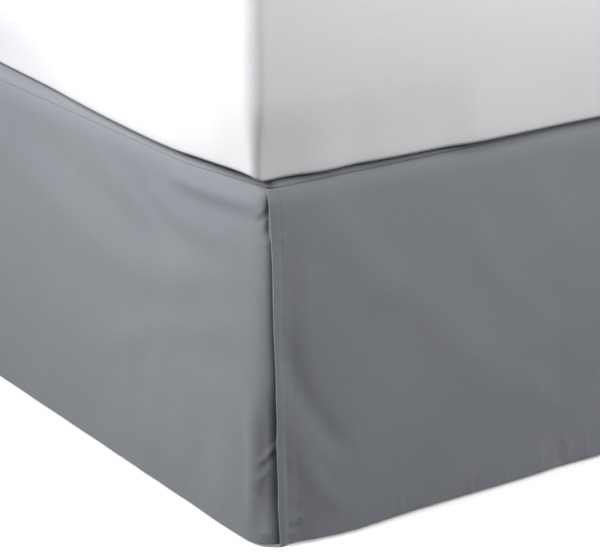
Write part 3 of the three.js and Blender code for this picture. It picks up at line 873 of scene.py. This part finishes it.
skirt_cloth = woven(
    "skirt_microfibre", ((0.189, 0.201, 0.221), (0.200, 0.211, 0.229)),
    pitch=0.0005, thread_depth=0.000008, soft_depth=0.0003, roughness=0.7, sheen=0.15)
mattress_cover = woven(
    "mattress_percale", ((0.655, 0.65, 0.672), (0.672, 0.667, 0.688)),
    pitch=0.0005, thread_depth=0.000008, soft_depth=0.0004, roughness=0.8, sheen=0.1)


def object_woven(name, low, high, pitch):
    """Upholstery on a CAD node: threads laid out by place, because the node has no map."""
    material, nodes, links, main = shader(name, Sheen_Weight=0.15, Sheen_Roughness=0.5)
    place = nodes.new("ShaderNodeTexCoord").outputs["Object"]
    turned = node(nodes, links, "ShaderNodeMapping", {"Vector": place, "Rotation": (0.02, 0.015, 0)})
    bands = 2 * math.pi / 20 / pitch
    threads = [node(nodes, links, "ShaderNodeTexWave", {
        "Vector": turned.outputs["Vector"], "Scale": bands}, bands_direction=axis).outputs["Fac"]
        for axis in "XYZ"]
    crossed = threads[0]
    for other in threads[1:]:
        crossed = node(
            nodes, links, "ShaderNodeMath", {0: crossed, 1: other}, operation="ADD").outputs["Value"]
    height = node(
        nodes, links, "ShaderNodeMath", {0: crossed, 1: 1 / 3}, operation="MULTIPLY").outputs["Value"]
    slub = noise(nodes, links, place, 90, 4)
    links.new(blend_colours(nodes, links, slub, low, high), main.inputs["Base Color"])
    links.new(spread(nodes, links, height, 0.75, 0.9), main.inputs["Roughness"])
    links.new(bump(nodes, links, height, 0.0001, bump(nodes, links, slub, 0.0003)), main.inputs["Normal"])
    return material


base_cover = object_woven("base_linen", (0.46, 0.46, 0.47), (0.56, 0.56, 0.565), 0.0012)


def stained_wood(name):
    material, nodes, links, main = shader(name, Coat_Weight=0.25, Coat_Roughness=0.3)
    place = nodes.new("ShaderNodeTexCoord").outputs["Object"]
    drawn = node(nodes, links, "ShaderNodeMapping", {"Vector": place, "Scale": (60, 60, 5)}).outputs["Vector"]
    grain = noise(nodes, links, drawn, 2.2, 6, 0.62)
    pores = noise(nodes, links, drawn, 14, 2)
    links.new(blend_colours(nodes, links, grain, (0.035, 0.024, 0.018), (0.085, 0.056, 0.04)),
              main.inputs["Base Color"])
    links.new(spread(nodes, links, pores, 0.32, 0.55), main.inputs["Roughness"])
    links.new(bump(nodes, links, pores, 0.0002, bump(nodes, links, grain, 0.0004)), main.inputs["Normal"])
    return material


leg_finish = stained_wood("leg_stain")


# ---- Pieces ----

def dress(piece, material, solid):
    """Gives a piece its finish and puts it in the place of the solid that it stands for."""
    piece.data.materials.append(material)
    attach(piece, "root")
    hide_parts(solid)
    return piece


left = dress(side_drop("side_drop_cloth_left", False), skirt_cloth, "side_drop_left")
right = dress(side_drop("side_drop_cloth_right", True), skirt_cloth, "side_drop_right")
foot = dress(foot_drop("foot_drop_cloth"), skirt_cloth, "foot_drop")
deck = dress(deck_cloth("deck_sheet"), skirt_cloth, "deck_cloth")
bed_mattress = dress(mattress("mattress_covered"), mattress_cover, "mattress")

for name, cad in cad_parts.items():
    if name == "base_box" or name.startswith("leg_"):
        finish, slot = (base_cover, "base_cover") if name == "base_box" else (leg_finish, "leg_finish")
        cad.data.materials.clear()
        cad.data.materials.append(finish)


# ---- Studio ----

def studio_floor():
    shape = bmesh.new()
    bmesh.ops.create_grid(shape, x_segments=1, y_segments=1, size=15)
    mesh = bpy.data.meshes.new("studio_floor")
    shape.to_mesh(mesh)
    shape.free()
    floor = bpy.data.objects.new("studio_floor", mesh)
    bpy.context.scene.collection.objects.link(floor)
    material, nodes, links, main = shader(
        "floor_paper", Roughness=0.9, Emission_Color=(1, 1, 1, 1), Emission_Strength=0.25)
    place = nodes.new("ShaderNodeTexCoord").outputs["Object"]
    links.new(blend_colours(nodes, links, noise(nodes, links, place, 3), (0.9, 0.9, 0.9), (0.92, 0.92, 0.92)),
              main.inputs["Base Color"])
    mesh.materials.append(material)
    floor.visible_diffuse = False


# All lights aim here, as a place from the foot corner in metres.
LIGHT_AIM = Vector((0.2, 0.2, 0.3))
# Name, place from the foot corner in metres, size in metres and power in watts.
LIGHTS = [
    ("side_key", (-1.30, 0.60, 1.39), (0.7, 0.7), 29),
    ("side_fill", (-0.87, 0.20, 1.20), (0.5, 0.5), 14),
    ("foot_key", (1.30, -1.70, 1.25), (0.9, 0.7), 20),
    ("foot_overhead", (0.87, -2.32, 2.49), (1.8, 1.4), 44),
    ("foot_top", (0.45, -0.55, 1.35), (0.6, 0.3), 5.2),
]
# How strongly the white surroundings light the bed. The camera sees them at full strength.
SKY = 0.02


def soft_box(name, from_corner, size, power):
    light = bpy.data.lights.new(name, "AREA")
    light.shape = "RECTANGLE"
    light.size, light.size_y = size
    light.energy = power
    lamp = bpy.data.objects.new(name, light)
    bpy.context.scene.collection.objects.link(lamp)
    lamp.location = BED_CORNER + Vector(from_corner)
    lamp.rotation_euler = (BED_CORNER + LIGHT_AIM - lamp.location).to_track_quat("-Z", "Y").to_euler()


studio_floor()
for light in LIGHTS:
    soft_box(*light)

world = bpy.data.worlds.new("studio")
bpy.context.scene.world = world
world.use_nodes = True
nodes, links = world.node_tree.nodes, world.node_tree.links
sky = nodes["Background"]
sky.inputs["Color"].default_value = (1, 1, 1, 1)
seen = nodes.new("ShaderNodeLightPath").outputs["Is Camera Ray"]
strength = node(nodes, links, "ShaderNodeMix", {"Factor": seen, "A": SKY, "B": 1.0})
links.new(strength.outputs["Result"], sky.inputs["Strength"])
bpy.context.scene.view_settings.view_transform = "Standard"
